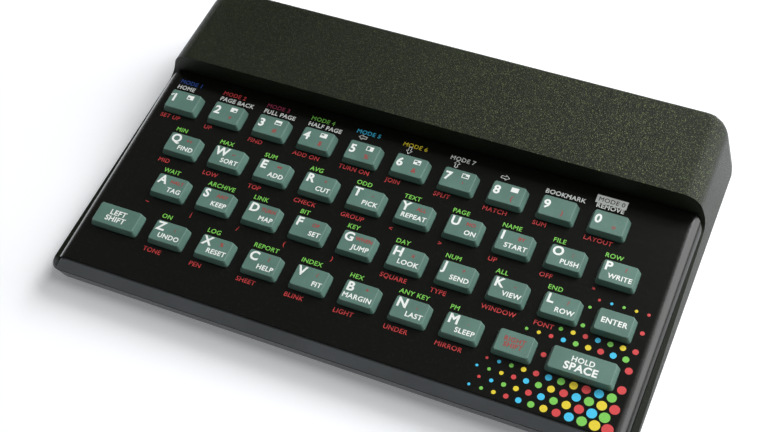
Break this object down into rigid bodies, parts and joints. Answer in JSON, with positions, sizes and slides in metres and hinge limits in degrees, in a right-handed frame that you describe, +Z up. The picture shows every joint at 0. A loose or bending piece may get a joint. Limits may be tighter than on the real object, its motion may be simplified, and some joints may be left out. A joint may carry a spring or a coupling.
{
  "type": "vintage home computer",
  "caption": "Flat desktop home computer in a two-part plastic case with a raised rear section, sloping metal faceplate, sprung rubber keys and rear sockets.",
  "frame": {"origin": "on the table under the middle of the case", "axes": "+X to the user's right along the long side, +Y to the rear sockets, +Z up"},
  "size_m": [0.233, 0.144, 0.0294],
  "materials": {
    "case_plastic": "fine moulded texture, satin",
    "black_enamel": "gloss black enamel on thin sheet metal",
    "key_rubber": "smooth matt silicone rubber, grey green",
    "clear_film": "printed polyester film",
    "board_laminate": "green lacquered glass laminate",
    "chip_plastic": "moulded epoxy",
    "tin_plate": "tinned sheet steel",
    "sheet_aluminium": "plain bent sheet",
    "socket_plastic": "black moulding",
    "black_rubber": "matt black rubber"
  },
  "bodies": {
    "case": {"lower_case": "case_plastic", "upper_case": "case_plastic", "faceplate": "black_enamel", "key_mat": "key_rubber", "keyboard_membrane": "clear_film", "circuit_board": "board_laminate", "display_logic": "chip_plastic", "processor": "chip_plastic", "rom_chip": "chip_plastic", "tv_modulator": "tin_plate", "ear_socket": "socket_plastic", "mic_socket": "socket_plastic", "power_socket": "socket_plastic", "heat_sink": "sheet_aluminium", "voltage_regulator": "chip_plastic", "beeper": "socket_plastic", "foot_front_left": "black_rubber", "foot_front_right": "black_rubber", "foot_rear_left": "black_rubber", "foot_rear_right": "black_rubber"},
    "key_1_body": {"key_1": "key_rubber"},
    "key_2_body": {"key_2": "key_rubber"},
    "key_3_body": {"key_3": "key_rubber"},
    "key_4_body": {"key_4": "key_rubber"},
    "key_5_body": {"key_5": "key_rubber"},
    "key_6_body": {"key_6": "key_rubber"},
    "key_7_body": {"key_7": "key_rubber"},
    "key_8_body": {"key_8": "key_rubber"},
    "key_9_body": {"key_9": "key_rubber"},
    "key_0_body": {"key_0": "key_rubber"},
    "key_q_body": {"key_q": "key_rubber"},
    "key_w_body": {"key_w": "key_rubber"},
    "key_e_body": {"key_e": "key_rubber"},
    "key_r_body": {"key_r": "key_rubber"},
    "key_t_body": {"key_t": "key_rubber"},
    "key_y_body": {"key_y": "key_rubber"},
    "key_u_body": {"key_u": "key_rubber"},
    "key_i_body": {"key_i": "key_rubber"},
    "key_o_body": {"key_o": "key_rubber"},
    "key_p_body": {"key_p": "key_rubber"},
    "key_a_body": {"key_a": "key_rubber"},
    "key_s_body": {"key_s": "key_rubber"},
    "key_d_body": {"key_d": "key_rubber"},
    "key_f_body": {"key_f": "key_rubber"},
    "key_g_body": {"key_g": "key_rubber"},
    "key_h_body": {"key_h": "key_rubber"},
    "key_j_body": {"key_j": "key_rubber"},
    "key_k_body": {"key_k": "key_rubber"},
    "key_l_body": {"key_l": "key_rubber"},
    "key_enter_body": {"key_enter": "key_rubber"},
    "key_caps_shift_body": {"key_caps_shift": "key_rubber"},
    "key_z_body": {"key_z": "key_rubber"},
    "key_x_body": {"key_x": "key_rubber"},
    "key_c_body": {"key_c": "key_rubber"},
    "key_v_body": {"key_v": "key_rubber"},
    "key_b_body": {"key_b": "key_rubber"},
    "key_n_body": {"key_n": "key_rubber"},
    "key_m_body": {"key_m": "key_rubber"},
    "key_symbol_shift_body": {"key_symbol_shift": "key_rubber"},
    "key_space_body": {"key_space": "key_rubber"}
  },
  "joints": [
    {"name": "key_1_press", "type": "slide", "parent": "case", "child": "key_1_body", "axis": [0, 0.0598, -0.9982], "range_m": [0, 0.0018], "stiffness_N_per_m": 300, "springref_m": -0.0004},
    {"name": "key_2_press", "type": "slide", "parent": "case", "child": "key_2_body", "axis": [0, 0.0598, -0.9982], "range_m": [0, 0.0018], "stiffness_N_per_m": 300, "springref_m": -0.0004},
    {"name": "key_3_press", "type": "slide", "parent": "case", "child": "key_3_body", "axis": [0, 0.0598, -0.9982], "range_m": [0, 0.0018], "stiffness_N_per_m": 300, "springref_m": -0.0004},
    {"name": "key_4_press", "type": "slide", "parent": "case", "child": "key_4_body", "axis": [0, 0.0598, -0.9982], "range_m": [0, 0.0018], "stiffness_N_per_m": 300, "springref_m": -0.0004},
    {"name": "key_5_press", "type": "slide", "parent": "case", "child": "key_5_body", "axis": [0, 0.0598, -0.9982], "range_m": [0, 0.0018], "stiffness_N_per_m": 300, "springref_m": -0.0004},
    {"name": "key_6_press", "type": "slide", "parent": "case", "child": "key_6_body", "axis": [0, 0.0598, -0.9982], "range_m": [0, 0.0018], "stiffness_N_per_m": 300, "springref_m": -0.0004},
    {"name": "key_7_press", "type": "slide", "parent": "case", "child": "key_7_body", "axis": [0, 0.0598, -0.9982], "range_m": [0, 0.0018], "stiffness_N_per_m": 300, "springref_m": -0.0004},
    {"name": "key_8_press", "type": "slide", "parent": "case", "child": "key_8_body", "axis": [0, 0.0598, -0.9982], "range_m": [0, 0.0018], "stiffness_N_per_m": 300, "springref_m": -0.0004},
    {"name": "key_9_press", "type": "slide", "parent": "case", "child": "key_9_body", "axis": [0, 0.0598, -0.9982], "range_m": [0, 0.0018], "stiffness_N_per_m": 300, "springref_m": -0.0004},
    {"name": "key_0_press", "type": "slide", "parent": "case", "child": "key_0_body", "axis": [0, 0.0598, -0.9982], "range_m": [0, 0.0018], "stiffness_N_per_m": 300, "springref_m": -0.0004},
    {"name": "key_q_press", "type": "slide", "parent": "case", "child": "key_q_body", "axis": [0, 0.0598, -0.9982], "range_m": [0, 0.0018], "stiffness_N_per_m": 300, "springref_m": -0.0004},
    {"name": "key_w_press", "type": "slide", "parent": "case", "child": "key_w_body", "axis": [0, 0.0598, -0.9982], "range_m": [0, 0.0018], "stiffness_N_per_m": 300, "springref_m": -0.0004},
    {"name": "key_e_press", "type": "slide", "parent": "case", "child": "key_e_body", "axis": [0, 0.0598, -0.9982], "range_m": [0, 0.0018], "stiffness_N_per_m": 300, "springref_m": -0.0004},
    {"name": "key_r_press", "type": "slide", "parent": "case", "child": "key_r_body", "axis": [0, 0.0598, -0.9982], "range_m": [0, 0.0018], "stiffness_N_per_m": 300, "springref_m": -0.0004},
    {"name": "key_t_press", "type": "slide", "parent": "case", "child": "key_t_body", "axis": [0, 0.0598, -0.9982], "range_m": [0, 0.0018], "stiffness_N_per_m": 300, "springref_m": -0.0004},
    {"name": "key_y_press", "type": "slide", "parent": "case", "child": "key_y_body", "axis": [0, 0.0598, -0.9982], "range_m": [0, 0.0018], "stiffness_N_per_m": 300, "springref_m": -0.0004},
    {"name": "key_u_press", "type": "slide", "parent": "case", "child": "key_u_body", "axis": [0, 0.0598, -0.9982], "range_m": [0, 0.0018], "stiffness_N_per_m": 300, "springref_m": -0.0004},
    {"name": "key_i_press", "type": "slide", "parent": "case", "child": "key_i_body", "axis": [0, 0.0598, -0.9982], "range_m": [0, 0.0018], "stiffness_N_per_m": 300, "springref_m": -0.0004},
    {"name": "key_o_press", "type": "slide", "parent": "case", "child": "key_o_body", "axis": [0, 0.0598, -0.9982], "range_m": [0, 0.0018], "stiffness_N_per_m": 300, "springref_m": -0.0004},
    {"name": "key_p_press", "type": "slide", "parent": "case", "child": "key_p_body", "axis": [0, 0.0598, -0.9982], "range_m": [0, 0.0018], "stiffness_N_per_m": 300, "springref_m": -0.0004},
    {"name": "key_a_press", "type": "slide", "parent": "case", "child": "key_a_body", "axis": [0, 0.0598, -0.9982], "range_m": [0, 0.0018], "stiffness_N_per_m": 300, "springref_m": -0.0004},
    {"name": "key_s_press", "type": "slide", "parent": "case", "child": "key_s_body", "axis": [0, 0.0598, -0.9982], "range_m": [0, 0.0018], "stiffness_N_per_m": 300, "springref_m": -0.0004},
    {"name": "key_d_press", "type": "slide", "parent": "case", "child": "key_d_body", "axis": [0, 0.0598, -0.9982], "range_m": [0, 0.0018], "stiffness_N_per_m": 300, "springref_m": -0.0004},
    {"name": "key_f_press", "type": "slide", "parent": "case", "child": "key_f_body", "axis": [0, 0.0598, -0.9982], "range_m": [0, 0.0018], "stiffness_N_per_m": 300, "springref_m": -0.0004},
    {"name": "key_g_press", "type": "slide", "parent": "case", "child": "key_g_body", "axis": [0, 0.0598, -0.9982], "range_m": [0, 0.0018], "stiffness_N_per_m": 300, "springref_m": -0.0004},
    {"name": "key_h_press", "type": "slide", "parent": "case", "child": "key_h_body", "axis": [0, 0.0598, -0.9982], "range_m": [0, 0.0018], "stiffness_N_per_m": 300, "springref_m": -0.0004},
    {"name": "key_j_press", "type": "slide", "parent": "case", "child": "key_j_body", "axis": [0, 0.0598, -0.9982], "range_m": [0, 0.0018], "stiffness_N_per_m": 300, "springref_m": -0.0004},
    {"name": "key_k_press", "type": "slide", "parent": "case", "child": "key_k_body", "axis": [0, 0.0598, -0.9982], "range_m": [0, 0.0018], "stiffness_N_per_m": 300, "springref_m": -0.0004},
    {"name": "key_l_press", "type": "slide", "parent": "case", "child": "key_l_body", "axis": [0, 0.0598, -0.9982], "range_m": [0, 0.0018], "stiffness_N_per_m": 300, "springref_m": -0.0004},
    {"name": "key_enter_press", "type": "slide", "parent": "case", "child": "key_enter_body", "axis": [0, 0.0598, -0.9982], "range_m": [0, 0.0018], "stiffness_N_per_m": 300, "springref_m": -0.0004},
    {"name": "key_caps_shift_press", "type": "slide", "parent": "case", "child": "key_caps_shift_body", "axis": [0, 0.0598, -0.9982], "range_m": [0, 0.0018], "stiffness_N_per_m": 300, "springref_m": -0.0004},
    {"name": "key_z_press", "type": "slide", "parent": "case", "child": "key_z_body", "axis": [0, 0.0598, -0.9982], "range_m": [0, 0.0018], "stiffness_N_per_m": 300, "springref_m": -0.0004},
    {"name": "key_x_press", "type": "slide", "parent": "case", "child": "key_x_body", "axis": [0, 0.0598, -0.9982], "range_m": [0, 0.0018], "stiffness_N_per_m": 300, "springref_m": -0.0004},
    {"name": "key_c_press", "type": "slide", "parent": "case", "child": "key_c_body", "axis": [0, 0.0598, -0.9982], "range_m": [0, 0.0018], "stiffness_N_per_m": 300, "springref_m": -0.0004},
    {"name": "key_v_press", "type": "slide", "parent": "case", "child": "key_v_body", "axis": [0, 0.0598, -0.9982], "range_m": [0, 0.0018], "stiffness_N_per_m": 300, "springref_m": -0.0004},
    {"name": "key_b_press", "type": "slide", "parent": "case", "child": "key_b_body", "axis": [0, 0.0598, -0.9982], "range_m": [0, 0.0018], "stiffness_N_per_m": 300, "springref_m": -0.0004},
    {"name": "key_n_press", "type": "slide", "parent": "case", "child": "key_n_body", "axis": [0, 0.0598, -0.9982], "range_m": [0, 0.0018], "stiffness_N_per_m": 300, "springref_m": -0.0004},
    {"name": "key_m_press", "type": "slide", "parent": "case", "child": "key_m_body", "axis": [0, 0.0598, -0.9982], "range_m": [0, 0.0018], "stiffness_N_per_m": 300, "springref_m": -0.0004},
    {"name": "key_symbol_shift_press", "type": "slide", "parent": "case", "child": "key_symbol_shift_body", "axis": [0, 0.0598, -0.9982], "range_m": [0, 0.0018], "stiffness_N_per_m": 300, "springref_m": -0.0004},
    {"name": "key_space_press", "type": "slide", "parent": "case", "child": "key_space_body", "axis": [0, 0.0598, -0.9982], "range_m": [0, 0.0018], "stiffness_N_per_m": 300, "springref_m": -0.0004}
  ]
}
